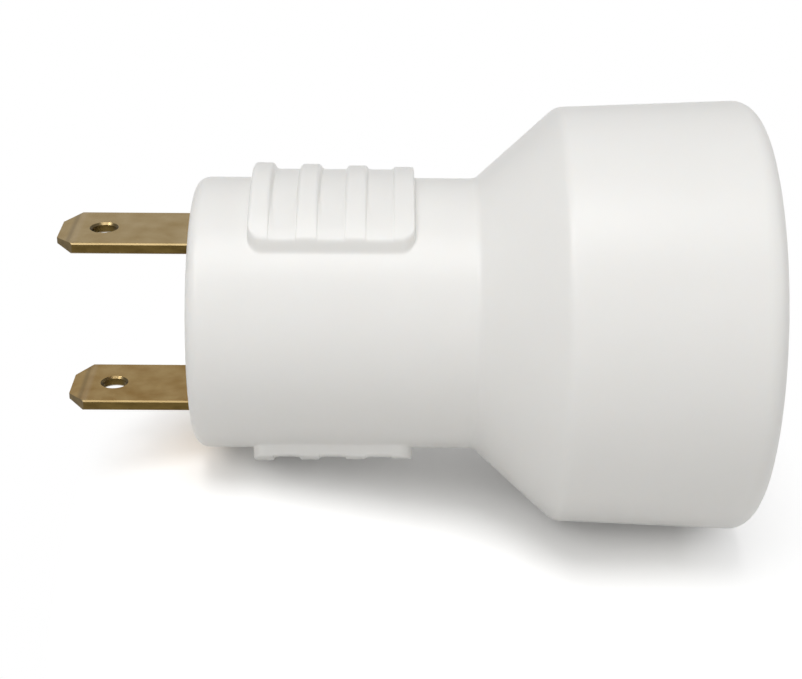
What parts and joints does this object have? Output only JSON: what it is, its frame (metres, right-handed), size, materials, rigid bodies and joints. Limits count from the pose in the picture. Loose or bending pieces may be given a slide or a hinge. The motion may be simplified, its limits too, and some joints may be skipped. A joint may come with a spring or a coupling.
{
  "type": "refrigerator lamp holder",
  "caption": "Push-in lamp holder: white moulded neck with ribbed finger grips, cone and wide drum round a screw shell, with flat brass connector tabs at the rear.",
  "frame": {"origin": "on the axis, at the middle of the round neck between the finger grips and the cone, where a panel holds the lamp holder", "axes": "+X along the axis towards the mouth, +Z through the upper grip and across the tabs' flat faces, +Y along the tabs' width"},
  "size_m": [0.0506, 0.0318, 0.0318],
  "materials": {
    "housing_plastic": "semi-gloss white moulding",
    "tab_brass": "rolled brass strip, blanked edges",
    "base_plastic": "matt cream moulding",
    "spring_bronze": "phosphor bronze strip",
    "shell_metal": "bright rolled sheet",
    "rivet_brass": "plain brass rivet"
  },
  "bodies": {
    "root": {"housing": "housing_plastic", "shell_tab": "tab_brass", "centre_tab": "tab_brass", "contact_base": "base_plastic", "centre_contact": "spring_bronze", "screw_shell": "shell_metal", "rivets": "rivet_brass"}
  },
  "joints": []
}
